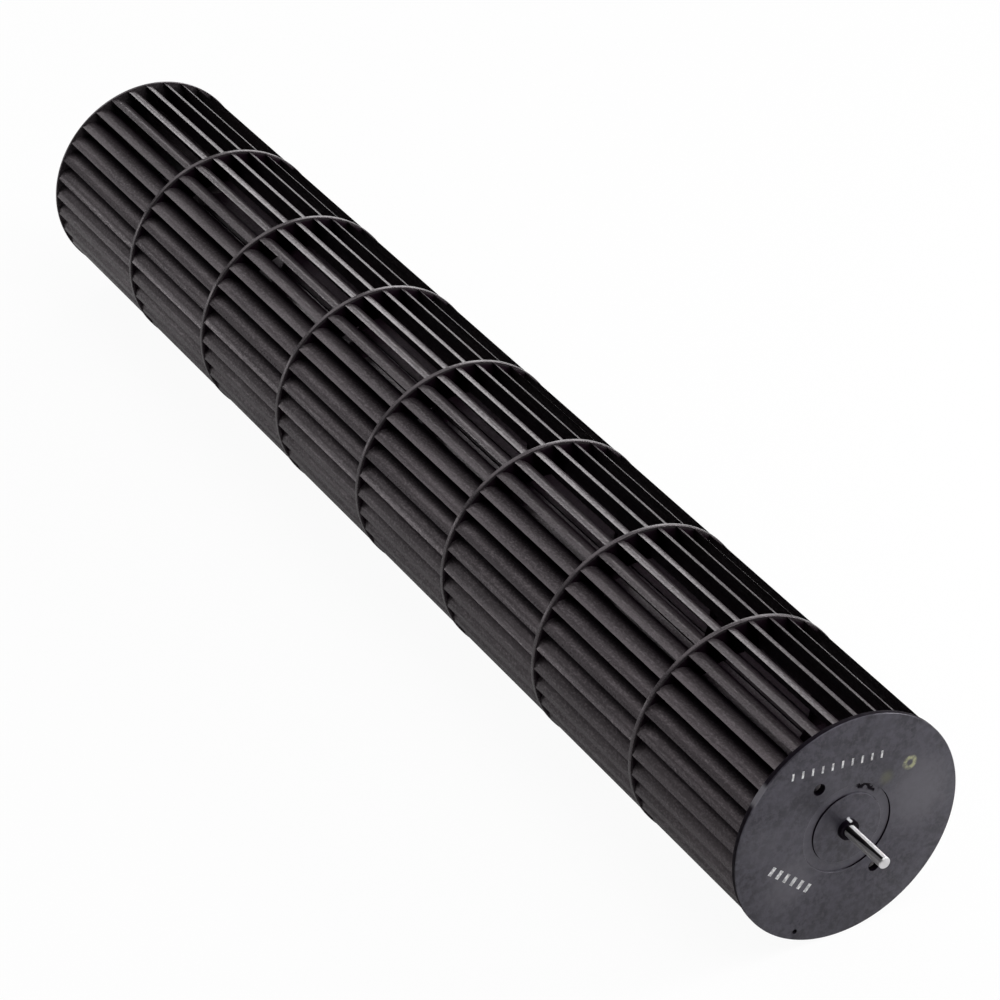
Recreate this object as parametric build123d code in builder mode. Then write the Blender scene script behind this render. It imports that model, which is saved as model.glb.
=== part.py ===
from build123d import *
import os
from math import acos, atan2, cos, radians, sin, sqrt

# A cross flow fan rotor: a long drum of forward-curved blades, moulded in short
# bladed segments that are welded end to end. A plain steel stub shaft stands out of
# the end plate at one end, and a rubber-sprung metal hub takes the motor shaft at the
# other. Millimetres. The X axis is the axis of rotation, from the motor end (X = 0,
# the outer face of the motor end plate) towards the bearing shaft. Z is up.

os.makedirs("parts", exist_ok=True)

# ---- drum
blade_count = 33            # blades in each bay, evenly spaced
tip_radius = 50.1           # outer end of a blade's camber line
root_radius = 36.8          # inner end of the camber line
tip_angle = 35.0            # camber line to the tangent at the tip, degrees
root_angle = 90.0           # camber line to the tangent at the root, degrees
tip_thickness = 0.9         # blade wall at the outer edge
tip_slope = 0.35            # how far the cut end drops towards its convex side
body_thickness = 1.5        # blade wall in the middle of the chord
camber_chords = 3           # straight facets along the camber line

ring_count = 7              # bladed rings between the two end plates
bay_length = 72.9           # free length of the blades in an ordinary bay
shaft_bay_length = 73.4     # the same in the bay next to the shaft end plate
motor_bay_length = 81.2     # the same in the bay next to the motor
stagger = 5.1               # turn of each bay relative to the one before, degrees
motor_bay_stagger = 4.4     # the same for the bay next to the motor
first_tip_azimuth = 86.5    # a blade tip of the first bay, degrees from +Y towards +Z

ring_thickness = 2.1
ring_overhang = 0.4         # both edges of a ring have one flat for each blade, and
ring_inset = 1.0            # their corners stand this far past the tips and the roots
ring_outer_radius = tip_radius + ring_overhang
ring_inner_radius = root_radius - ring_inset

# ---- bearing shaft
shaft_radius = 2.5
knurl_height = 0.2          # the part of the shaft that the plastic grips is larger
knurl_radius = shaft_radius + knurl_height
shaft_reach = 25.5          # length in front of the plate's outer face
shaft_chamfer = 0.5

# ---- shaft end plate
shaft_plate_overhang = 0.8  # how far its rim stands past the blade tips
shaft_plate_radius = tip_radius + shaft_plate_overhang
shaft_plate_thickness = 2.7
groove_inner_radius = 15.5  # shallow ring groove in the outer face
groove_width = 4.6
groove_outer_radius = groove_inner_radius + groove_width
groove_depth = 0.75
collar_wall = 1.7           # low collar round the shaft
collar_radius = knurl_radius + collar_wall
collar_height = 2.0
boss_wall = 5.3             # boss behind the plate that grips the shaft
boss_radius = knurl_radius + boss_wall
boss_length = 12.0
boss_floor = 2.0            # plastic left behind the blind end of the shaft
port_radius = 2.5           # two through holes, opposite each other
port_gap = 4.6              # plate left between the groove and the holes
port_offset = groove_outer_radius + port_gap + port_radius
port_azimuth = 120.7

# ---- motor end
motor_plate_overhang = 0.3  # how far its rim stands past the blade tips
motor_plate_radius = tip_radius + motor_plate_overhang
motor_plate_thickness = 1.4
motor_bore_radius = 4.0
hub_wall = 4.0
hub_radius = motor_bore_radius + hub_wall
damper_wall = 10.0          # rubber between the hub and the sleeve
socket_radius = hub_radius + damper_wall
socket_wall = 2.0
damper_setback = 1.0        # from both ends of the sleeve
damper_length = 13.0
socket_length = damper_length + 2 * damper_setback
screw_radius = 2.1          # grub screw that clamps the motor shaft
screw_gap = 1.1             # bare hub between the damper and the screw
screw_station = damper_setback + damper_length + screw_gap + screw_radius
screw_azimuth = 90.0
hub_lip = 0.7               # hub left past the screw
hub_length = screw_station + screw_radius + hub_lip
screw_stick_out = 0.5
screw_tip_gap = 0.2         # the tip stands this far back from the bore's wall
hex_across_flats = 2.0
hex_depth = 2.0

# ---- stations along the axis
ring_pitch = ring_thickness + bay_length
last_ring_face = motor_plate_thickness + motor_bay_length
first_ring_face = last_ring_face + (ring_count - 1) * ring_pitch
plate_inner_face = first_ring_face + ring_thickness + shaft_bay_length
drum_face = plate_inner_face + shaft_plate_thickness
shaft_inner_end = plate_inner_face - boss_length + boss_floor
grip_face = drum_face + collar_height


def camber_arc():
    """Radius of the camber arc, distance of its centre from the axis, and the polar
    angles of the root and the tip behind the centre, from the two edge angles."""
    cos_tip, cos_root = cos(radians(tip_angle)), cos(radians(root_angle))
    radius = (tip_radius**2 - root_radius**2) / (
        2 * (tip_radius * cos_tip - root_radius * cos_root)
    )
    centre = sqrt(tip_radius**2 + radius**2 - 2 * tip_radius * radius * cos_tip)
    behind = [
        acos((r**2 + centre**2 - radius**2) / (2 * r * centre))
        for r in (root_radius, tip_radius)
    ]
    return radius, centre, behind[0], behind[1]


def blade_outline():
    """Corners of one blade section, with its tip at azimuth 0 and leaning towards
    larger azimuths. The root comes to a fine edge. The cut end at the tip reaches the
    circle of the tips on its concave side and stays a little inside it on the convex
    side."""
    radius, centre, root_behind, tip_behind = camber_arc()
    middle = (centre * cos(tip_behind), centre * sin(tip_behind))
    root_turn = tip_behind - root_behind
    start = atan2(
        root_radius * sin(root_turn) - middle[1], root_radius * cos(root_turn) - middle[0]
    )
    sides = []
    for sign, rim in ((1, tip_radius - tip_slope), (-1, tip_radius)):
        wall = radius + sign * tip_thickness / 2
        end = tip_behind - acos((rim**2 - centre**2 - wall**2) / (2 * centre * wall))
        row = []
        for step in range(camber_chords + 1):
            angle = start + (end - start) * step / camber_chords
            if step == 0:
                wall = radius
            elif step == camber_chords:
                wall = radius + sign * tip_thickness / 2
            else:
                wall = radius + sign * body_thickness / 2
            row.append((middle[0] + wall * cos(angle), middle[1] + wall * sin(angle)))
        sides.append(row)
    convex, concave = sides
    return convex + concave[:0:-1]


def tip_azimuth(bay):
    """Azimuth of a blade tip in a bay, counted from 0 at the shaft end."""
    if bay == ring_count:
        return first_tip_azimuth + stagger * (bay - 1) + motor_bay_stagger
    return first_tip_azimuth + stagger * bay


def ring_face(ring):
    """Station of the motor-side face of a ring, counted from 1 at the shaft end."""
    return first_ring_face - (ring - 1) * ring_pitch


def blade_sections(face, azimuth):
    """The sections of one bay's blades, in the plane X = face."""
    with BuildSketch(Plane.YZ.offset(face)) as sections:
        with PolarLocations(0, blade_count, start_angle=azimuth):
            Polygon(*blade_outline(), align=None)
    return sections.sketch


def around(offset, azimuth):
    """A point in a section plane from its distance and azimuth."""
    return offset * cos(radians(azimuth)), offset * sin(radians(azimuth))


# ---- shaft end plate with the first bay of blades
with BuildPart() as shaft_end_plate:
    with BuildSketch(Plane.YZ.offset(plate_inner_face)):
        Circle(shaft_plate_radius)
    extrude(amount=shaft_plate_thickness)
    with BuildSketch(Plane.YZ.offset(drum_face)):
        Circle(collar_radius)
    extrude(amount=collar_height)
    with BuildSketch(Plane.YZ.offset(plate_inner_face)):
        Circle(boss_radius)
    extrude(amount=-boss_length)
    with BuildSketch(Plane.YZ.offset(drum_face)):
        Circle(groove_outer_radius)
        Circle(groove_inner_radius, mode=Mode.SUBTRACT)
    extrude(amount=-groove_depth, mode=Mode.SUBTRACT)
    with BuildSketch(Plane.YZ.offset(drum_face)):
        with PolarLocations(port_offset, 2, start_angle=port_azimuth):
            Circle(port_radius)
    extrude(amount=-shaft_plate_thickness, mode=Mode.SUBTRACT)
    extrude(blade_sections(plate_inner_face, tip_azimuth(0)), amount=-shaft_bay_length)
    with BuildSketch(Plane.YZ.offset(grip_face)):
        Circle(knurl_radius)
    extrude(amount=shaft_inner_end - grip_face, mode=Mode.SUBTRACT)

# ---- bearing shaft, moulded into the plate by its knurled end
with BuildPart() as bearing_shaft:
    with BuildSketch(Plane.YZ.offset(shaft_inner_end)):
        Circle(knurl_radius)
    extrude(amount=grip_face - shaft_inner_end)
    with BuildSketch(Plane.YZ.offset(grip_face)):
        Circle(shaft_radius)
    extrude(amount=drum_face + shaft_reach - grip_face)
    chamfer(bearing_shaft.faces().sort_by(Axis.X)[-1].edges(), shaft_chamfer)

# ---- bladed rings: each carries the blades of the bay behind it
blade_rings = []
for ring in range(1, ring_count + 1):
    with BuildPart() as blade_ring:
        with BuildSketch(Plane.YZ.offset(ring_face(ring))):
            RegularPolygon(ring_outer_radius, blade_count, rotation=tip_azimuth(ring))
            RegularPolygon(
                ring_inner_radius,
                blade_count,
                rotation=tip_azimuth(ring),
                mode=Mode.SUBTRACT,
            )
        extrude(amount=ring_thickness)
        free_length = motor_bay_length if ring == ring_count else bay_length
        extrude(blade_sections(ring_face(ring), tip_azimuth(ring)), amount=-free_length)
    blade_rings.append(blade_ring)

# ---- motor end plate with the sleeve round the damper
with BuildPart() as motor_end_plate:
    with BuildSketch(Plane.YZ):
        Circle(motor_plate_radius)
    extrude(amount=motor_plate_thickness)
    with BuildSketch(Plane.YZ):
        Circle(socket_radius + socket_wall)
    extrude(amount=socket_length)
    with BuildSketch(Plane.YZ):
        Circle(socket_radius)
    extrude(amount=socket_length, mode=Mode.SUBTRACT)

# ---- rubber damper, bonded between the sleeve and the hub
with BuildPart() as rubber_damper:
    with BuildSketch(Plane.YZ.offset(damper_setback)):
        Circle(socket_radius)
        Circle(hub_radius, mode=Mode.SUBTRACT)
    extrude(amount=damper_length)

# ---- metal hub with the motor bore and the tapped hole for the grub screw
screw_plane = Plane(
    origin=(screw_station, 0, 0),
    x_dir=(1, 0, 0),
    z_dir=(0, *around(1, screw_azimuth)),
)
with BuildPart() as motor_hub:
    with BuildSketch(Plane.YZ):
        Circle(hub_radius)
    extrude(amount=hub_length)
    with BuildSketch(Plane.YZ):
        Circle(motor_bore_radius)
    extrude(amount=hub_length, mode=Mode.SUBTRACT)
    with BuildSketch(screw_plane):
        Circle(screw_radius)
    extrude(amount=hub_radius + screw_stick_out, mode=Mode.SUBTRACT)

# ---- grub screw with a hexagon socket
with BuildPart() as grub_screw:
    with BuildSketch(screw_plane.offset(motor_bore_radius + screw_tip_gap)):
        Circle(screw_radius)
    extrude(amount=hub_radius + screw_stick_out - motor_bore_radius - screw_tip_gap)
    with BuildSketch(screw_plane.offset(hub_radius + screw_stick_out)):
        RegularPolygon(hex_across_flats / 2, 6, major_radius=False)
    extrude(amount=-hex_depth, mode=Mode.SUBTRACT)

# ---- labels and files
pieces = {
    "shaft_end_plate": shaft_end_plate,
    "bearing_shaft": bearing_shaft,
    "motor_end_plate": motor_end_plate,
    "rubber_damper": rubber_damper,
    "motor_hub": motor_hub,
    "grub_screw": grub_screw,
}
for number, blade_ring in enumerate(blade_rings, start=1):
    pieces[f"blade_ring_{number}"] = blade_ring
for name, piece in pieces.items():
    piece.part.label = name
    export_step(piece.part, f"parts/{name}.step")
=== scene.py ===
import bmesh
import bpy
import numpy as np
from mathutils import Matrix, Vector


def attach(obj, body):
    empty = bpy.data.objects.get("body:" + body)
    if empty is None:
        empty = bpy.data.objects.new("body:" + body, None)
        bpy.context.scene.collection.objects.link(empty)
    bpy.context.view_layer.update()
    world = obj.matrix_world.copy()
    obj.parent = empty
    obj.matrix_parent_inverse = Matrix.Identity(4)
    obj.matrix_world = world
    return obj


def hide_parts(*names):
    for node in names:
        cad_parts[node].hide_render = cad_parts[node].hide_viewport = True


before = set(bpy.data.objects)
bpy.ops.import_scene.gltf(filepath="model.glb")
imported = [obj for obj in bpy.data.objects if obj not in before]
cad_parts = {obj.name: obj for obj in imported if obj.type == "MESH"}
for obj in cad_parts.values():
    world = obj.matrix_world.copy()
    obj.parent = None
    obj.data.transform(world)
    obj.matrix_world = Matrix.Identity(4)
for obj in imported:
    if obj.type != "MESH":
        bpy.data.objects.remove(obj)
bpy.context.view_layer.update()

# Sizes in metres. The X axis is the axis of rotation and runs from the motor end to the
# bearing shaft; azimuths are turned from +Y towards +Z.

# ---- drum
BLADES = 33
TIP_RADIUS, ROOT_RADIUS = 0.0501, 0.0368
TIP_ANGLE, ROOT_ANGLE = np.radians(35.0), np.radians(90.0)
TIP_WALL, BODY_WALL, ROOT_WALL = 0.0009, 0.0015, 0.0009
TIP_SLOPE = 0.00035         # the cut end drops this much towards its convex side
TIP_EASE = (0.00030, 0.00010)  # corners of the cut end, convex and concave
FIRST_TIP, STAGGER, LAST_STAGGER = np.radians(86.5), np.radians(5.1), np.radians(4.4)
RINGS = 7
RING_OUTER, RING_INNER, RING_THICKNESS = 0.0505, 0.0358, 0.0021
RING_PITCH = 0.0750
LAST_RING = 0.0826          # station of the ring next to the motor end
OVERLAP = 0.0001            # how far a bay of blades runs into what it is welded to

# ---- shaft end plate
PLATE_BACK, PLATE_FACE, PLATE_RADIUS = 0.6081, 0.6108, 0.0509
GROOVE_INNER, GROOVE_OUTER, GROOVE_DEPTH = 0.0155, 0.0201, 0.00075
COLLAR_RADIUS, COLLAR_HEIGHT = 0.0044, 0.0020
BOSS_RADIUS, BOSS_LENGTH = 0.0080, 0.0120
PORT_RADIUS, PORT_OFFSET, PORT_AZIMUTH = 0.0025, 0.0272, np.radians(120.7)
DIMPLE_RADIUS, DIMPLE_DEPTH = 0.0011, 0.0016
DIMPLE_OFFSET, DIMPLE_AZIMUTH = 0.0472, np.radians(242.1)

# ---- paint, marks, painted highlights and painted shade on the shaft end plate, at (y, z) places
LONG_ROW_FIRST, LONG_ROW_LAST, LONG_ROW_TICKS = (-0.0263, 0.0338), (0.0144, 0.0298), 10
LONG_ROW_TICK = (0.0033, 0.0009)     # length across the row, width along it
SHORT_ROW_FIRST, SHORT_ROW_LAST, SHORT_ROW_TICKS = (-0.0339, -0.0079), (-0.0172, -0.0222), 6
SHORT_ROW_TICK = (0.0040, 0.0017)
PAINT_BELOW, PAINT_ABOVE = 0.00005, 0.00004  # how far a tick reaches into and off the face
RING_MARK, SMEAR_MARK, GROOVE_DARK_PATCH = (0.0278, 0.0210), (0.0172, 0.0178), (0.0092, 0.0162)
# places of a painted highlight on the rim and a painted glint on the collar's side
RIM_HIGHLIGHT, COLLAR_GLINT = (-0.0415, 0.0305), (0.0003, 0.0045)
# the groove's walls are painted black, as shade, where this line through the axis crosses them
GROOVE_SHADE_LINE = (0.0, -0.906, 0.423)     # the groove's walls are black where it crosses

# ---- shaft
SHAFT_RADIUS, SHAFT_REACH = 0.0025, 0.0255
GRIP_RADIUS, GRIP_BELOW_COLLAR = 0.0027, 0.0003
SHAFT_INNER_END = PLATE_BACK - 0.0100
# azimuth of the painted dark reflection along the shaft
DARK_REFLECTION_AZIMUTH = np.radians(118.0)
DARK_REFLECTION_SIDE = (0.0, -np.sin(DARK_REFLECTION_AZIMUTH), np.cos(DARK_REFLECTION_AZIMUTH))

# ---- motor end
MOTOR_PLATE_FACE, MOTOR_PLATE_RADIUS = 0.0014, 0.0504
SLEEVE_LENGTH, SLEEVE_INNER, SLEEVE_OUTER = 0.0150, 0.0180, 0.0200
DAMPER_SETBACK, DAMPER_DISH, DISH_MARGIN = 0.0010, 0.0012, 0.0025
HUB_LENGTH, HUB_BORE, HUB_RADIUS = 0.0200, 0.0040, 0.0080
SCREW_STATION, SCREW_RADIUS = 0.0172, 0.0021
SCREW_HOLE_REACH = 0.0095   # from the axis to just outside the hub

# ---- making the meshes
CUT_BEYOND = 0.0010         # how far a cutting rod starts or ends beyond the wall it cuts
SHARP_ANGLE = np.radians(35.0)  # edges that turn more than this are shaded sharp

# ---- distances from the axis between which plastic goes from painted shade, black and dull, to full tone
BLADE_FADE, RING_FADE, DISC_FADE = (0.0432, 0.0488), (0.0488, 0.0500), (0.0, 0.0010)

# ---- studio
VIEW_PLACE, VIEW_DIRECTION = (1.6076, -0.7304, 0.9375), (-0.72841, 0.4216, -0.54002)
VIEW_LENS = 144.9           # millimetres, for the 36 mm sensor
DRUM_MIDDLE = (0.3, 0.0, 0.0)
FLOOR_REACH = 10.0          # half the floor's side, so that low views don't see its edge


# ------------------------------------------------------------------ camera and studio
def look_from(place, direction, lens):
    """The view camera at a place, looking along a direction, with Z upright."""
    data = bpy.data.cameras.new("view_camera")
    data.lens, data.sensor_width = lens, 36.0
    data.clip_start, data.clip_end = 0.05, 60.0
    camera = bpy.data.objects.new("view_camera", data)
    camera.location = place
    camera.rotation_mode = "QUATERNION"
    camera.rotation_quaternion = Vector(direction).to_track_quat("-Z", "Y")
    bpy.context.scene.collection.objects.link(camera)
    bpy.context.scene.camera = camera


def soft_box(name, place, target, size, watts):
    """A flat lamp of a given width and height at a place, turned to face a target."""
    data = bpy.data.lights.new(name, "AREA")
    data.shape, data.size, data.size_y, data.energy = "RECTANGLE", *size, watts
    lamp = bpy.data.objects.new(name, data)
    lamp.location = place
    lamp.rotation_mode = "QUATERNION"
    lamp.rotation_quaternion = (Vector(target) - Vector(place)).to_track_quat("-Z", "Y")
    bpy.context.scene.collection.objects.link(lamp)


look_from(VIEW_PLACE, VIEW_DIRECTION, VIEW_LENS)
soft_box("front_soft_box", (1.2, 0.45, 2.0), DRUM_MIDDLE, (1.8, 1.8), 40.0)
soft_box("overhead_soft_box", (-1.1, -0.3, 1.4), DRUM_MIDDLE, (1.4, 1.4), 9.0)
soft_box("back_soft_box", (-0.94, 1.00, 0.62), DRUM_MIDDLE, (0.8, 0.8), 7.0)
soft_box("low_soft_box", (-0.72, -0.93, 0.10), DRUM_MIDDLE, (0.6, 0.2), 1.5)
soft_box("far_soft_box", (-0.72, 0.95, 0.05), DRUM_MIDDLE, (0.6, 0.18), 0.7)
soft_box("side_soft_box", (0.74, 0.90, 0.48), (PLATE_FACE, 0.0, 0.0), (0.3, 0.3), 8.0)

scene = bpy.context.scene
scene.view_settings.view_transform = "Standard"


# ------------------------------------------------------------------ node helpers
def shader(name, **uniform):
    """A new node material: its tree, its Principled shader with some inputs set, and the
    material."""
    material = bpy.data.materials.new(name)
    material.use_nodes = True
    principled = material.node_tree.nodes["Principled BSDF"]
    for socket, value in uniform.items():
        principled.inputs[socket.replace("_", " ")].default_value = value
    return material.node_tree, principled, material


def put(tree, kind, inputs=(), **settings):
    """A node with its settings, and its inputs given as values or as sockets to link."""
    node = tree.nodes.new(kind)
    for key, value in settings.items():
        setattr(node, key, value)
    for key, value in dict(inputs).items():
        if isinstance(value, bpy.types.NodeSocket):
            tree.links.new(value, node.inputs[key])
        else:
            node.inputs[key].default_value = value
    return node


def stretched(tree, scale=(1, 1, 1)):
    """Object coordinates times a scale."""
    place = put(tree, "ShaderNodeTexCoord").outputs["Object"]
    return put(tree, "ShaderNodeMapping", {"Vector": place, "Scale": scale}).outputs["Vector"]


def noise(tree, vector, scale, detail=3.0, roughness=0.5):
    """Noise of a given scale on a vector."""
    settings = {"Vector": vector, "Scale": scale, "Detail": detail, "Roughness": roughness}
    return put(tree, "ShaderNodeTexNoise", settings).outputs["Fac"]


def ramp(tree, value, low, high, to_low=0.0, to_high=1.0):
    """A smooth step from one value to another as the input goes from low to high."""
    settings = {"Value": value, "From Min": low, "From Max": high}
    settings.update({"To Min": to_low, "To Max": to_high})
    node = put(tree, "ShaderNodeMapRange", settings, interpolation_type="SMOOTHSTEP")
    return node.outputs["Result"]


def window(tree, value, low, high, soft, top=1.0):
    """A value that is high between two limits and falls to 0 outside them over a width."""
    rise = ramp(tree, value, low - soft, low, 0.0, top)
    return times(tree, rise, ramp(tree, value, high, high + soft, 1.0, 0.0))


def times(tree, first, second, operation="MULTIPLY"):
    """Two values put together by a Math node."""
    return put(tree, "ShaderNodeMath", {0: first, 1: second}, operation=operation).outputs[0]


def blend(tree, share, first, second):
    """A mix of two colours by a share."""
    node = put(tree, "ShaderNodeMix", data_type="RGBA")
    for index, value in ((0, share), (6, first), (7, second)):
        socket = node.inputs[index]
        if isinstance(value, bpy.types.NodeSocket):
            tree.links.new(value, socket)
        else:
            socket.default_value = value if index == 0 else (*value, 1.0)
    return node.outputs[2]


def bump(tree, principled, height, distance, strength):
    """Bump from a height on the shader's normal."""
    inputs = {"Height": height, "Distance": distance, "Strength": strength}
    node = put(tree, "ShaderNodeBump", inputs)
    tree.links.new(node.outputs["Normal"], principled.inputs["Normal"])


def finish(tree, principled, tone, roughness):
    """Links a colour and a roughness to the shader."""
    tree.links.new(tone, principled.inputs["Base Color"])
    tree.links.new(roughness, principled.inputs["Roughness"])


def away_from_axis(tree):
    """Distance from the axis of rotation."""
    across = stretched(tree, (0, 1, 1))
    return put(tree, "ShaderNodeVectorMath", {0: across}, operation="LENGTH").outputs["Value"]


def station(tree):
    """Distance along the axis of rotation from the motor end."""
    return put(tree, "ShaderNodeSeparateXYZ", {"Vector": stretched(tree)}).outputs["X"]


def away_from(tree, y, z):
    """Distance from a line parallel to the axis of rotation."""
    inputs = {0: stretched(tree, (0, 1, 1)), 1: (0.0, y, z)}
    return put(tree, "ShaderNodeVectorMath", inputs, operation="DISTANCE").outputs["Value"]


# ------------------------------------------------------------------ finishes
def drum_plastic(name, deep_radius, full_radius):
    """Dark moulded plastic: a tone that is uneven along the blades, fine grain in tone,
    roughness and bump, and evener, smoother worn edges at the tips. Inwards from the full
    radius to the deep radius it is painted in shade, deep between the blades and on the
    rings' sides: it turns black and dull and mirrors less."""
    tree, principled, material = shader(name)
    radius = away_from_axis(tree)
    # painted shade: black, dull and mirroring less inwards, between the blades and on the rings'
    # sides
    out_of_shade = ramp(tree, radius, deep_radius, full_radius)
    mirrored = blend(tree, out_of_shade, (0.36, 0.17, 0.28), (1.0, 0.85, 0.92))
    tree.links.new(mirrored, principled.inputs["Specular Tint"])
    patches = noise(tree, stretched(tree, (0.4, 1, 1)), 45.0, 4.0)
    flow = noise(tree, stretched(tree, (0.06, 1, 1)), 620.0)
    speckle = noise(tree, stretched(tree, (0.7, 1, 1)), 1100.0, 3.0, 0.6)
    uneven = ramp(tree, patches, 0.35, 0.68)
    tone = blend(tree, uneven, (0.012, 0.010, 0.011), (0.024, 0.020, 0.022))
    tone = blend(tree, ramp(tree, flow, 0.50, 0.80, 0.0, 0.4), tone, (0.034, 0.030, 0.032))
    tone = blend(tree, ramp(tree, speckle, 0.48, 0.66, 0.0, 0.9), tone, (0.056, 0.049, 0.053))
    tone = blend(tree, out_of_shade, (0.004, 0.002, 0.004), tone)
    worn = ramp(tree, radius, 0.0495, 0.0499, 0.0, 0.85)
    tone = blend(tree, worn, tone, (0.026, 0.023, 0.025))
    dull = ramp(tree, patches, 0.3, 0.7, 0.58, 0.48)
    dull = times(tree, dull, ramp(tree, speckle, 0.36, 0.64, 0.0, 0.14), "SUBTRACT")
    dull = times(tree, ramp(tree, radius, deep_radius, full_radius, 0.34, 0.0), dull, "ADD")
    dull = times(tree, dull, ramp(tree, radius, 0.0494, 0.0498, 0.0, 0.16), "SUBTRACT")
    finish(tree, principled, tone, dull)
    grain = noise(tree, stretched(tree, (0.5, 1, 1)), 1300.0, 2.0)
    bump(tree, principled, grain, 0.00012, 0.8)
    return material


def plate_patches_and_painted_shade(tree, tone):
    """Broad pale and dark areas of the end plate, each a soft spot at (y, z) with an
    inner and an outer radius and the share of its tone at the middle. Two dark areas, from
    beside the shaft's base up towards the port, are painted shade of the shaft."""
    pale, dark = (0.100, 0.096, 0.110), (0.010, 0.009, 0.012)
    areas = [
        (0.032, 0.005, 0.004, 0.024, 0.75, pale),
        (-0.026, -0.016, 0.004, 0.018, 0.50, pale),
        (-0.040, 0.006, 0.004, 0.014, 0.25, pale),
        # painted shade of the shaft, at the far end of its streak towards the port
        (-0.016, 0.021, 0.004, 0.012, 0.30, dark),
        (0.000, -0.050, 0.004, 0.026, 0.25, dark),
        # painted shade of the shaft, beside its base
        (-0.007, 0.007, 0.003, 0.010, 0.45, dark),
    ]
    for y, z, inner, outer, share, colour in areas:
        spot = ramp(tree, away_from(tree, y, z), inner, outer, share, 0.0)
        tone = blend(tree, spot, tone, colour)
    return tone


def plate_marks(tree, tone):
    """Small marks on the end plate: an olive ring of paint with a faint smear beside it,
    a painted highlight on the rim and a painted glint on the collar."""
    speckle = noise(tree, stretched(tree), 620.0, 3.0, 0.6)
    ring = window(tree, away_from(tree, *RING_MARK), 0.0020, 0.0026, 0.0011)
    ring = times(tree, ring, ramp(tree, speckle, 0.35, 0.62, 0.25, 1.0))
    tone = blend(tree, ring, tone, (0.340, 0.345, 0.190))
    smear = ramp(tree, away_from(tree, *SMEAR_MARK), 0.0005, 0.0045, 0.7, 0.0)
    tone = blend(tree, smear, tone, (0.085, 0.088, 0.045))
    # painted highlight on the rim
    rim_highlight = ramp(tree, away_from(tree, *RIM_HIGHLIGHT), 0.0030, 0.0060, 1.0, 0.0)
    rim_highlight = times(tree, rim_highlight, ramp(tree, away_from_axis(tree), 0.0500, 0.0506))
    tone = blend(tree, rim_highlight, tone, (0.150, 0.145, 0.160))
    # painted glint on the collar
    glint = ramp(tree, away_from(tree, *COLLAR_GLINT), 0.0005, 0.0009, 1.0, 0.0)
    return blend(tree, glint, tone, (0.500, 0.500, 0.520))


def groove_shade(tree, radius, along):
    """Share of painted shade, black, on the two walls of the groove, on the two opposite
    sides that the shade line runs through."""
    inputs = {0: stretched(tree), 1: GROOVE_SHADE_LINE}
    slant = put(tree, "ShaderNodeVectorMath", inputs, operation="DOT_PRODUCT")
    slant = times(tree, times(tree, slant.outputs["Value"], radius, "DIVIDE"), 0.0, "ABSOLUTE")
    inner, outer = [
        window(tree, radius, edge - 0.00015, edge + 0.00015, 0.0001)
        for edge in (GROOVE_INNER, GROOVE_OUTER)
    ]
    shade = times(tree, times(tree, inner, outer, "ADD"), ramp(tree, slant, 0.30, 0.60))
    below = ramp(tree, along, PLATE_FACE - 0.00020, PLATE_FACE - 0.00005, 1.0, 0.0)
    return times(tree, shade, below)


def plate_shade(tree):
    """Share of black on the end plate: painted shade on parts of the groove's walls, in the
    two through holes, on the collar and on the rim's wall, and a speckled dark patch at the
    groove."""
    radius, along = away_from_axis(tree), station(tree)
    shade = groove_shade(tree, radius, along)
    # painted shade inside the two through holes
    for turn in (PORT_AZIMUTH, PORT_AZIMUTH + np.pi):
        hole = away_from(tree, PORT_OFFSET * np.cos(turn), PORT_OFFSET * np.sin(turn))
        wall = ramp(tree, hole, PORT_RADIUS + 0.00005, PORT_RADIUS + 0.00020, 1.0, 0.0)
        shade = times(tree, shade, wall, "MAXIMUM")
    # painted shade on the collar
    collar = ramp(tree, radius, COLLAR_RADIUS + 0.0002, COLLAR_RADIUS + 0.0003, 1.0, 0.0)
    collar = times(tree, collar, ramp(tree, along, PLATE_FACE, PLATE_FACE + 0.0002))
    shade = times(tree, shade, collar, "MAXIMUM")
    # painted shade on the rim's wall
    rim = ramp(tree, along, PLATE_FACE - 0.0006, PLATE_FACE - 0.0002, 1.0, 0.0)
    rim = times(tree, rim, ramp(tree, radius, 0.0495, 0.0500))
    shade = times(tree, shade, rim, "MAXIMUM")
    # a speckled dark patch on the groove's floor near its outer wall
    groove_dark_patch = ramp(tree, away_from(tree, *GROOVE_DARK_PATCH), 0.0045, 0.0072, 1.0, 0.0)
    groove_dark_patch = times(tree, groove_dark_patch, window(tree, radius, 0.0178, 0.0196, 0.0010))
    speckle = noise(tree, stretched(tree), 420.0, 3.0, 0.6)
    groove_dark_patch = times(tree, groove_dark_patch, ramp(tree, speckle, 0.44, 0.50))
    return times(tree, shade, groove_dark_patch, "MAXIMUM")


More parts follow.
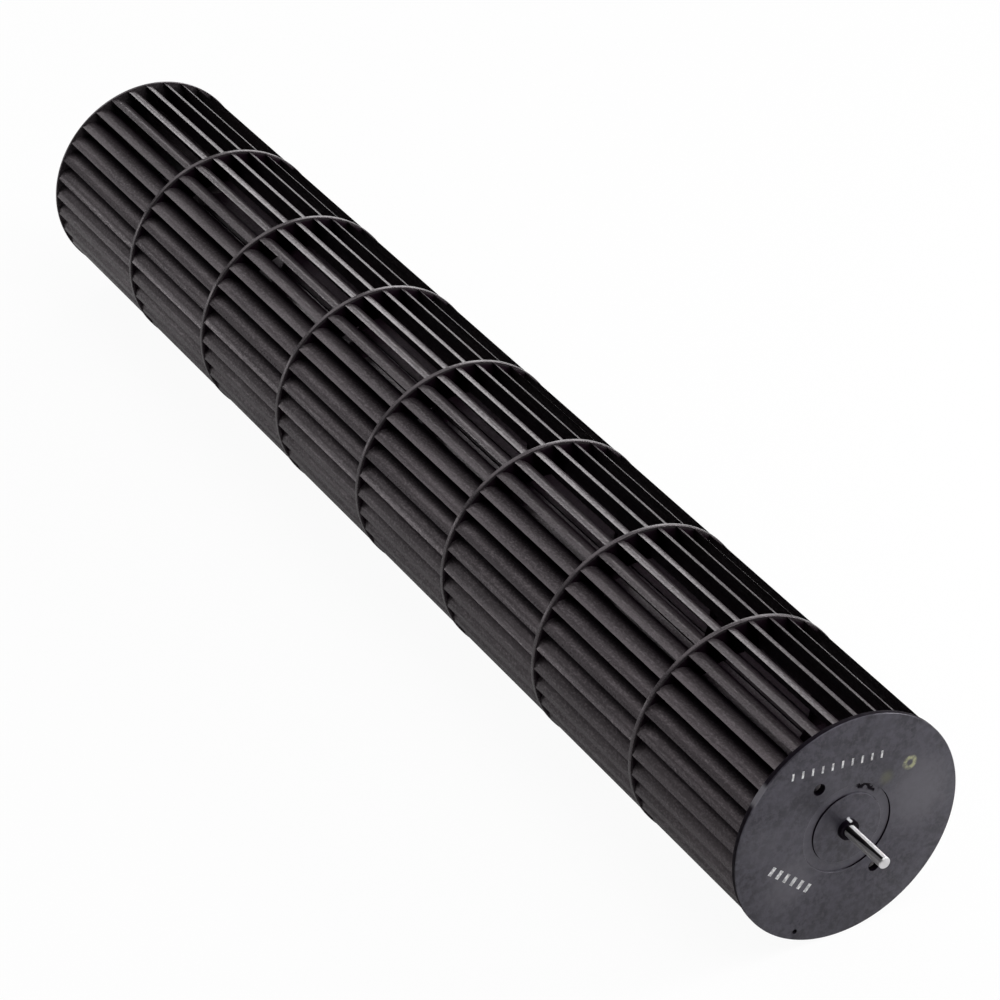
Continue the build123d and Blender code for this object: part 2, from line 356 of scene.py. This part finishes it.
def end_plate_plastic():
    """The same plastic on the flat end plate, greyer: patches, radial flow streaks, pale
    and dark areas with the shaft's painted shade among them, marks with a painted highlight
    and glint, a paler groove floor, fine grain, and painted shade that is black and mirrors
    less."""
    tree, principled, material = shader("end_plate_plastic")
    patches = noise(tree, stretched(tree), 80.0, 5.0, 0.62)
    mottle = noise(tree, stretched(tree), 420.0, 3.0, 0.6)
    radius = away_from_axis(tree)
    parts = put(tree, "ShaderNodeSeparateXYZ", {"Vector": stretched(tree)}).outputs
    turn = times(tree, parts["Z"], parts["Y"], "ARCTAN2")
    rays = {"X": times(tree, turn, 9.0), "Y": times(tree, radius, 30.0)}
    rays = put(tree, "ShaderNodeCombineXYZ", rays).outputs["Vector"]
    uneven = ramp(tree, patches, 0.36, 0.66)
    tone = blend(tree, uneven, (0.010, 0.009, 0.013), (0.034, 0.032, 0.042))
    tone = blend(tree, ramp(tree, mottle, 0.38, 0.66, 0.0, 0.7), tone, (0.055, 0.052, 0.066))
    streaks = ramp(tree, noise(tree, rays, 3.0), 0.52, 0.75, 0.0, 0.25)
    tone = blend(tree, streaks, tone, (0.060, 0.058, 0.070))
    groove_area = window(tree, radius, GROOVE_INNER, GROOVE_OUTER, 0.0003, 0.5)
    tone = blend(tree, groove_area, tone, (0.080, 0.076, 0.092))
    # painted shade: black, and mirroring less
    shade = plate_shade(tree)
    tone = blend(tree, shade, plate_patches_and_painted_shade(tree, tone), (0.002, 0.001, 0.003))
    mirrored = blend(tree, shade, (0.92, 0.88, 1.0), (0.12, 0.08, 0.12))
    tree.links.new(mirrored, principled.inputs["Specular Tint"])
    dull = ramp(tree, mottle, 0.3, 0.7, 0.40, 0.30)
    dull = times(tree, dull, times(tree, shade, 0.5), "ADD")
    finish(tree, principled, plate_marks(tree, tone), dull)
    bump(tree, principled, noise(tree, stretched(tree), 1300.0, 2.0), 0.00004, 0.5)
    return material


def pale_paint():
    """Thin pale paint that covers unevenly."""
    tree, principled, material = shader("pale_paint")
    cover = noise(tree, stretched(tree), 900.0, 2.0)
    finish(
        tree,
        principled,
        blend(tree, ramp(tree, cover, 0.35, 0.65), (0.40, 0.40, 0.41), (0.80, 0.80, 0.80)),
        ramp(tree, cover, 0.35, 0.65, 0.60, 0.45),
    )
    return material


def shaft_dark_reflection(tree, side):
    """Share of the painted dark reflection that runs along two opposite sides of the shaft,
    broad at the plate and narrower towards the tip. Side is the distance from the plane through
    the axis at the reflection's azimuth, as a share of the shaft's radius."""
    narrowing = ramp(tree, station(tree), PLATE_FACE, PLATE_FACE + SHAFT_REACH, 0.0, 0.45)
    dark_reflection = ramp(tree, times(tree, side, narrowing, "ADD"), 0.50, 0.62, 1.0, 0.0)
    return times(tree, dark_reflection, ramp(tree, side, -0.38, -0.24))


def polished_steel():
    """Ground shaft steel: marks round it stretch every highlight along the axis, a painted
    reflection makes it greyer along one side and dark along two opposite ones, and the end
    face and its rounded edge are bright."""
    settings = {"Metallic": 1.0, "Anisotropic": 0.9, "Anisotropic_Rotation": 0.25}
    tree, principled, material = shader("polished_steel", **settings)
    around = put(tree, "ShaderNodeTangent", direction_type="RADIAL", axis="X")
    tree.links.new(around.outputs["Tangent"], principled.inputs["Tangent"])
    marks = noise(tree, stretched(tree, (1, 0.02, 0.02)), 2600.0, 2.0)
    smear = noise(tree, stretched(tree), 260.0)
    inputs = {0: stretched(tree), 1: DARK_REFLECTION_SIDE}
    across = put(tree, "ShaderNodeVectorMath", inputs, operation="DOT_PRODUCT")
    side = times(tree, across.outputs["Value"], 1 / SHAFT_RADIUS)
    # painted reflection: greyer along one side
    tone = blend(tree, ramp(tree, side, 0.50, 0.85), (0.66, 0.65, 0.66), (0.28, 0.27, 0.28))
    # painted dark reflection along two opposite sides
    tone = blend(tree, shaft_dark_reflection(tree, side), tone, (0.012, 0.010, 0.012))
    tone = blend(tree, ramp(tree, smear, 0.3, 0.7, 0.0, 0.25), tone, (0.10, 0.10, 0.10))
    tip = PLATE_FACE + SHAFT_REACH
    end = ramp(tree, station(tree), tip - 0.0008, tip - 0.0005)
    tone = blend(tree, end, tone, (0.74, 0.73, 0.74))
    finish(tree, principled, tone, ramp(tree, smear, 0.3, 0.7, 0.40, 0.48))
    bump(tree, principled, marks, 0.00001, 0.6)
    return material


def damper_rubber():
    """Black rubber with a dull bloom."""
    tree, principled, material = shader("damper_rubber")
    bloom = noise(tree, stretched(tree), 160.0, 4.0)
    finish(
        tree,
        principled,
        blend(tree, bloom, (0.012, 0.012, 0.013), (0.030, 0.030, 0.032)),
        ramp(tree, bloom, 0.3, 0.7, 0.60, 0.80),
    )
    bump(tree, principled, noise(tree, stretched(tree), 2400.0, 2.0), 0.00003, 0.5)
    return material


def turned_aluminium():
    """Turned hub metal: fine rings left by the tool and a soft satin tone."""
    tree, principled, material = shader("turned_aluminium", Metallic=1.0)
    rings = {"X": away_from_axis(tree), "Y": station(tree)}
    rings = put(tree, "ShaderNodeCombineXYZ", rings).outputs["Vector"]
    tool = noise(tree, rings, 3500.0, 2.0)
    finish(
        tree,
        principled,
        blend(tree, tool, (0.52, 0.52, 0.53), (0.66, 0.66, 0.67)),
        ramp(tree, tool, 0.3, 0.7, 0.30, 0.42),
    )
    bump(tree, principled, tool, 0.00001, 0.5)
    return material


def blackened_steel():
    """Oiled black screw steel with rubbed spots."""
    tree, principled, material = shader("blackened_steel", Metallic=1.0)
    rubbed = noise(tree, stretched(tree), 900.0)
    finish(
        tree,
        principled,
        blend(tree, ramp(tree, rubbed, 0.45, 0.7), (0.05, 0.05, 0.052), (0.20, 0.19, 0.18)),
        ramp(tree, rubbed, 0.3, 0.7, 0.45, 0.30),
    )
    return material


def paper():
    """Studio paper: a faint uneven grey. The camera sees it as even white with a small
    share of paper, that takes the rotor's shadow, and mirrors see it mostly as paper."""
    tree, principled, material = shader("studio_paper", Roughness=1.0, Specular_IOR_Level=0.0)
    grain = noise(tree, stretched(tree), 2.0)
    tone = blend(tree, grain, (0.640, 0.640, 0.640), (0.660, 0.660, 0.660))
    tree.links.new(tone, principled.inputs["Base Color"])
    rays = put(tree, "ShaderNodeLightPath").outputs
    seen = times(tree, rays["Is Camera Ray"], rays["Is Transmission Ray"], "MAXIMUM")
    mirrored = times(tree, rays["Is Glossy Ray"], 0.1)
    seen = times(tree, times(tree, seen, 0.95), mirrored, "MAXIMUM")
    white = put(tree, "ShaderNodeEmission", {"Color": (1.0, 1.0, 1.0, 1.0), "Strength": 1.0})
    mixed = put(tree, "ShaderNodeMixShader", {0: seen})
    tree.links.new(principled.outputs["BSDF"], mixed.inputs[1])
    tree.links.new(white.outputs["Emission"], mixed.inputs[2])
    tree.links.new(mixed.outputs["Shader"], tree.nodes["Material Output"].inputs["Surface"])
    return material


def surround(world):
    """Even soft light from behind the rotor, that fades in front of its end plate."""
    world.use_nodes = True
    tree = world.node_tree
    towards = put(tree, "ShaderNodeTexCoord").outputs["Generated"]
    forward = put(tree, "ShaderNodeSeparateXYZ", {"Vector": towards}).outputs["X"]
    light = tree.nodes["Background"]
    light.inputs["Color"].default_value = (1.0, 1.0, 1.0, 1.0)
    tree.links.new(ramp(tree, forward, 0.0, 0.4, 0.30, 0.06), light.inputs["Strength"])


# ------------------------------------------------------------------ surfaces
def grid_faces(rows, columns, closed_rows=False):
    """Corners of the quads of a grid of points whose columns close on themselves."""
    row = np.arange(rows if closed_rows else rows - 1)[:, None]
    column = np.arange(columns)[None]
    after, beside = (row + 1) % rows, (column + 1) % columns
    corners = [
        row * columns + column,
        row * columns + beside,
        after * columns + beside,
        after * columns + column,
    ]
    return np.stack(corners, -1).reshape(-1, 4)


def turned(outline, sides):
    """A solid of revolution: an outline of (station, radius) pairs, read with the solid
    on its left as the station grows along the outer wall, carried round the X axis in
    equal steps. An outline whose two ends lie on the axis closes at poles; any other
    outline closes on itself."""
    outline = np.asarray(outline, float)
    turn = np.linspace(0.0, 2 * np.pi, sides, endpoint=False)
    along = np.repeat(outline[:, :1], sides, 1)
    points = np.stack([along, outline[:, 1:] * np.cos(turn), outline[:, 1:] * np.sin(turn)], -1)
    on_axis = outline[0, 1] == 0 and outline[-1, 1] == 0
    faces = grid_faces(len(outline), sides, closed_rows=not on_axis)
    return points.reshape(-1, 3), faces.tolist()


def rounded(corners, steps=4):
    """An outline from (station, radius, round) triples: each corner whose round is above
    zero is replaced by the quadratic curve that leaves its two sides at that distance
    from the corner."""
    corners = np.asarray(corners, float)
    points, rounds = corners[:, :2], corners[:, 2]
    share = np.linspace(0, 1, steps + 1)[:, None]
    rows = []
    behind, ahead = np.roll(points, 1, 0), np.roll(points, -1, 0)
    for point, back, front, size in zip(points, behind, ahead, rounds):
        if size == 0:
            rows.append(point[None])
            continue
        start = point + (back - point) / np.linalg.norm(back - point) * size
        end = point + (front - point) / np.linalg.norm(front - point) * size
        rows.append((1 - share) ** 2 * start + 2 * share * (1 - share) * point + share**2 * end)
    return np.concatenate(rows)


def blade_section():
    """Closed outline of one blade section, its tip at azimuth 0, in (y, z). The camber
    line is an arc from the root radius to the tip radius that meets them at the edge
    angles. The wall is the camber line offset to both sides by half a thickness, which
    grows from a round root to the middle and shrinks to the tip. The concave side ends
    on the circle of the tips and the convex side a little inside it, so the cut end
    slopes, and its two corners are eased by short chords."""
    drop = TIP_RADIUS * np.cos(TIP_ANGLE) - ROOT_RADIUS * np.cos(ROOT_ANGLE)
    bend = (TIP_RADIUS**2 - ROOT_RADIUS**2) / (2 * drop)
    reach = np.sqrt(TIP_RADIUS**2 + bend**2 - 2 * TIP_RADIUS * bend * np.cos(TIP_ANGLE))
    ends = np.array([ROOT_RADIUS, TIP_RADIUS])
    behind = np.arccos((ends**2 + reach**2 - bend**2) / (2 * ends * reach))
    middle = reach * np.array([np.cos(behind[1]), np.sin(behind[1])])
    root_turn = behind[1] - behind[0]
    root = ROOT_RADIUS * np.array([np.cos(root_turn), np.sin(root_turn)]) - middle
    start = np.arctan2(root[1], root[0])
    along = np.array([0.0, 0.012, 0.05, 0.18, 0.36, 0.56, 0.76, 0.90, 0.965, 1.0])
    walls = np.array([ROOT_WALL, BODY_WALL, BODY_WALL, TIP_WALL])
    half = np.interp(along, [0, 0.35, 0.7, 1], walls / 2)
    from_root = along * bend * 0.9 / half
    half = half * np.sqrt(1 - np.clip(1 - from_root, 0, 1) ** 2)
    sides = []
    rims = (TIP_RADIUS - TIP_SLOPE, TIP_RADIUS)
    for sign, rim, ease in zip((1, -1), rims, TIP_EASE):
        wall = bend + sign * TIP_WALL / 2
        end = behind[1] - np.arccos((rim**2 - reach**2 - wall**2) / (2 * reach * wall))
        angle = start + (end - start) * along
        offset = bend + sign * (half - ease * (along == 1))
        sides.append(middle + np.stack([np.cos(angle), np.sin(angle)], -1) * offset[:, None])
    return np.concatenate([sides[0], sides[1][:0:-1]])[::-1]


def blades(low, high, first_azimuth):
    """One bay of blades between two stations: the section turned to each azimuth in equal
    steps round the axis and carried straight along X, with a flat cap at both ends."""
    section = blade_section()
    azimuth = first_azimuth + 2 * np.pi / BLADES * np.arange(BLADES)
    cos, sin = np.cos(azimuth)[:, None], np.sin(azimuth)[:, None]
    y = section[:, 0] * cos - section[:, 1] * sin
    z = section[:, 0] * sin + section[:, 1] * cos
    along = np.array([low, high])[None, :, None] + 0 * y[:, None, :]
    points = np.stack([along, np.repeat(y[:, None], 2, 1), np.repeat(z[:, None], 2, 1)], -1)
    count = len(section)
    first_point = (np.arange(BLADES) * 2 * count)[:, None, None]
    walls = (grid_faces(2, count)[None] + first_point).reshape(-1, 4)
    rim = np.arange(count)[None]
    caps = np.concatenate([rim[:, ::-1] + first_point[:, 0], rim + count + first_point[:, 0]])
    return points.reshape(-1, 3), walls.tolist() + caps.tolist()


def tick_row(first, last, count, tick):
    """A row of flat paint ticks on the end plate: equal boxes, evenly spaced between two
    (y, z) points, each with a length across the row and a width along it, and as thick
    as paint."""
    length, width = tick
    first, last = np.array(first), np.array(last)
    along = (last - first) / np.linalg.norm(last - first)
    across = np.array([-along[1], along[0]])
    centres = first + (last - first) * np.linspace(0, 1, count)[:, None]
    turn = np.array([-1, 1, 1, -1])[:, None], np.array([-1, -1, 1, 1])[:, None]
    corners = turn[0] * along * width / 2 + turn[1] * across * length / 2
    flat = np.repeat((centres[:, None] + corners)[:, None], 2, 1)
    levels = np.array([PLATE_FACE - PAINT_BELOW, PLATE_FACE + PAINT_ABOVE])
    high = levels[None, :, None, None] + 0 * flat[..., :1]
    points = np.concatenate([high, flat], -1).reshape(-1, 3)
    first_point = (np.arange(count) * 8)[:, None, None]
    walls = (grid_faces(2, 4)[None] + first_point).reshape(-1, 4)
    caps = np.array([[3, 2, 1, 0], [4, 5, 6, 7]])[None] + first_point
    return points, walls.tolist() + caps.reshape(-1, 4).tolist()


def mesh_of(points, faces):
    """A mesh from points and faces, with its poles and seams closed."""
    mesh = bpy.data.meshes.new("surface")
    mesh.from_pydata(np.asarray(points).tolist(), [], faces)
    whole = bmesh.new()
    whole.from_mesh(mesh)
    bmesh.ops.remove_doubles(whole, verts=whole.verts, dist=1e-7)
    whole.to_mesh(mesh)
    whole.free()
    return mesh


def piece(name, node, parts):
    """One finished piece from (mesh, material) parts, smooth but for its sharp edges,
    riding on the rotor in place of its CAD node."""
    joined = bmesh.new()
    data = bpy.data.meshes.new(name)
    for index, (mesh, material) in enumerate(parts):
        mesh.polygons.foreach_set("material_index", np.full(len(mesh.polygons), index, np.int32))
        joined.from_mesh(mesh)
        data.materials.append(material)
    joined.to_mesh(data)
    joined.free()
    data.polygons.foreach_set("use_smooth", np.ones(len(data.polygons), bool))
    data.set_sharp_from_angle(angle=SHARP_ANGLE)
    thing = bpy.data.objects.new(name, data)
    bpy.context.scene.collection.objects.link(thing)
    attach(thing, "root")
    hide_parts(node)


def drilled(mesh, holes):
    """The mesh with other closed meshes cut out of it."""
    bodies = [bpy.data.objects.new("cutting", m) for m in (mesh, *holes)]
    for body in bodies:
        bpy.context.scene.collection.objects.link(body)
    for tool in bodies[1:]:
        cut = bodies[0].modifiers.new("cut", "BOOLEAN")
        cut.operation, cut.solver, cut.object = "DIFFERENCE", "EXACT", tool
    bpy.context.view_layer.update()
    cut_body = bodies[0].evaluated_get(bpy.context.evaluated_depsgraph_get())
    result = bpy.data.meshes.new_from_object(cut_body)
    for body in bodies:
        bpy.data.objects.remove(body)
    result.materials.clear()
    return result


def rod(low, high, radius, offset=0.0, azimuth=0.0, sides=40):
    """A closed cylinder along X, its axis at a distance and azimuth from the X axis."""
    points, faces = turned([(low, 0), (low, radius), (high, radius), (high, 0)], sides)
    return mesh_of(points + offset * np.array([0, np.cos(azimuth), np.sin(azimuth)]), faces)


# ------------------------------------------------------------------ the drum
plastic = drum_plastic("drum_plastic", *BLADE_FADE)
ring_plastic = drum_plastic("ring_plastic", *RING_FADE)
disc_plastic = drum_plastic("disc_plastic", *DISC_FADE)

collar_top, groove_floor = PLATE_FACE + COLLAR_HEIGHT, PLATE_FACE - GROOVE_DEPTH
plate_outline = rounded([
    (PLATE_BACK - BOSS_LENGTH, 0, 0),
    (PLATE_BACK - BOSS_LENGTH, BOSS_RADIUS, 0.0008),
    (PLATE_BACK, BOSS_RADIUS, 0.0008),
    (PLATE_BACK, PLATE_RADIUS, 0.0006),
    (PLATE_FACE, PLATE_RADIUS, 0.0005),
    (PLATE_FACE, GROOVE_OUTER, 0.0001),
    (groove_floor, GROOVE_OUTER, 0.0001),
    (groove_floor, GROOVE_INNER, 0.0001),
    (PLATE_FACE, GROOVE_INNER, 0.0001),
    (PLATE_FACE, COLLAR_RADIUS, 0.0002),
    (collar_top, COLLAR_RADIUS, 0.0004),
    (collar_top, 0, 0),
])
below, above = PLATE_BACK - CUT_BEYOND, PLATE_FACE + CUT_BEYOND
dimple_floor, grip_end = PLATE_FACE - DIMPLE_DEPTH, collar_top - GRIP_BELOW_COLLAR
plate_holes = [
    rod(below, above, PORT_RADIUS, PORT_OFFSET, PORT_AZIMUTH),
    rod(below, above, PORT_RADIUS, PORT_OFFSET, PORT_AZIMUTH + np.pi),
    rod(dimple_floor, above, DIMPLE_RADIUS, DIMPLE_OFFSET, DIMPLE_AZIMUTH),
    rod(SHAFT_INNER_END, grip_end, GRIP_RADIUS),
    rod(PLATE_FACE, collar_top + CUT_BEYOND, SHAFT_RADIUS),
]
plate_mesh = drilled(mesh_of(*turned(plate_outline, sides=180)), plate_holes)
long_row = mesh_of(*tick_row(LONG_ROW_FIRST, LONG_ROW_LAST, LONG_ROW_TICKS, LONG_ROW_TICK))
short_row = mesh_of(*tick_row(SHORT_ROW_FIRST, SHORT_ROW_LAST, SHORT_ROW_TICKS, SHORT_ROW_TICK))
first_ring_front = LAST_RING + (RINGS - 1) * RING_PITCH + RING_THICKNESS
shaft_bay = mesh_of(*blades(first_ring_front - OVERLAP, PLATE_BACK + OVERLAP, FIRST_TIP))
end_plastic, paint = end_plate_plastic(), pale_paint()
shaft_end = [
    (shaft_bay, plastic),
    (plate_mesh, end_plastic),
    (long_row, paint),
    (short_row, paint),
]
piece("shaft_end_bay", "shaft_end_plate", shaft_end)

ring_outline = rounded([
    (0, RING_INNER, 0.0003),
    (0, RING_OUTER, 0.0004),
    (RING_THICKNESS, RING_OUTER, 0.0004),
    (RING_THICKNESS, RING_INNER, 0.0003),
])
for number in range(1, RINGS + 1):
    face = LAST_RING + (RINGS - number) * RING_PITCH
    is_last = number == RINGS
    far = MOTOR_PLATE_FACE if is_last else face - RING_PITCH + RING_THICKNESS
    tip = FIRST_TIP + STAGGER * (number - is_last) + LAST_STAGGER * is_last
    ring_mesh = mesh_of(*turned(ring_outline + np.array([face, 0.0]), sides=4 * BLADES))
    bay = mesh_of(*blades(far - OVERLAP, face + OVERLAP, tip))
    parts = [(bay, plastic), (ring_mesh, ring_plastic)]
    piece(f"bladed_bay_{number}", f"blade_ring_{number}", parts)

# ------------------------------------------------------------------ shaft
shaft_end_face = PLATE_FACE + SHAFT_REACH
shaft_outline = rounded(
    [
        (SHAFT_INNER_END, 0, 0),
        (SHAFT_INNER_END, GRIP_RADIUS, 0.0003),
        (grip_end, GRIP_RADIUS, 0),
        (grip_end, SHAFT_RADIUS, 0),
        (shaft_end_face, SHAFT_RADIUS, 0.0006),
        (shaft_end_face, 0, 0),
    ],
    steps=6,
)
shaft_mesh = mesh_of(*turned(shaft_outline, sides=64))
piece("bearing_shaft_bright", "bearing_shaft", [(shaft_mesh, polished_steel())])

# ------------------------------------------------------------------ motor end
disc_outline = rounded([
    (0, SLEEVE_INNER, 0.0003),
    (0, MOTOR_PLATE_RADIUS, 0.0006),
    (MOTOR_PLATE_FACE, MOTOR_PLATE_RADIUS, 0.0003),
    (MOTOR_PLATE_FACE, SLEEVE_OUTER, 0.0008),
    (SLEEVE_LENGTH, SLEEVE_OUTER, 0.0004),
    (SLEEVE_LENGTH, SLEEVE_INNER, 0.0003),
])
disc_mesh = mesh_of(*turned(disc_outline, sides=180))
piece("motor_end_disc", "motor_end_plate", [(disc_mesh, disc_plastic)])

damper_low, damper_high = DAMPER_SETBACK, SLEEVE_LENGTH - DAMPER_SETBACK
dish_inner, dish_outer = HUB_RADIUS + DISH_MARGIN, SLEEVE_INNER - DISH_MARGIN
damper_outline = rounded([
    (damper_low, HUB_RADIUS, 0),
    (damper_low + DAMPER_DISH, dish_inner, 0.0008),
    (damper_low + DAMPER_DISH, dish_outer, 0.0008),
    (damper_low, SLEEVE_INNER, 0),
    (damper_high, SLEEVE_INNER, 0),
    (damper_high - DAMPER_DISH, dish_outer, 0.0008),
    (damper_high - DAMPER_DISH, dish_inner, 0.0008),
    (damper_high, HUB_RADIUS, 0),
])
damper_mesh = mesh_of(*turned(damper_outline, sides=120))
piece("rubber_damper_dished", "rubber_damper", [(damper_mesh, damper_rubber())])

hub_outline = rounded([
    (0, HUB_BORE, 0.0004),
    (0, HUB_RADIUS, 0.0005),
    (HUB_LENGTH, HUB_RADIUS, 0.0005),
    (HUB_LENGTH, HUB_BORE, 0.0004),
])
screw_hole = [
    (0, 0),
    (0, SCREW_RADIUS),
    (SCREW_HOLE_REACH, SCREW_RADIUS),
    (SCREW_HOLE_REACH, 0),
]
hole_points, hole_faces = turned(screw_hole, sides=40)
upright = np.stack([hole_points[:, 1] + SCREW_STATION, hole_points[:, 2], hole_points[:, 0]], -1)
hub_mesh = drilled(mesh_of(*turned(hub_outline, sides=96)), [mesh_of(upright, hole_faces)])
piece("motor_hub_turned", "motor_hub", [(hub_mesh, turned_aluminium())])

screw_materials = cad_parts["grub_screw"].data.materials
screw_materials.clear()
screw_materials.append(blackened_steel())

# ------------------------------------------------------------------ floor and world
floor_corners = np.array([(-1, -1, 0), (1, -1, 0), (1, 1, 0), (-1, 1, 0)]) * FLOOR_REACH
floor_mesh = mesh_of(floor_corners - np.array([0, 0, PLATE_RADIUS]), [[0, 1, 2, 3]])
floor_mesh.materials.append(paper())
floor = bpy.data.objects.new("studio_floor", floor_mesh)
scene.collection.objects.link(floor)

scene.world = bpy.data.worlds.new("studio_world")
surround(scene.world)
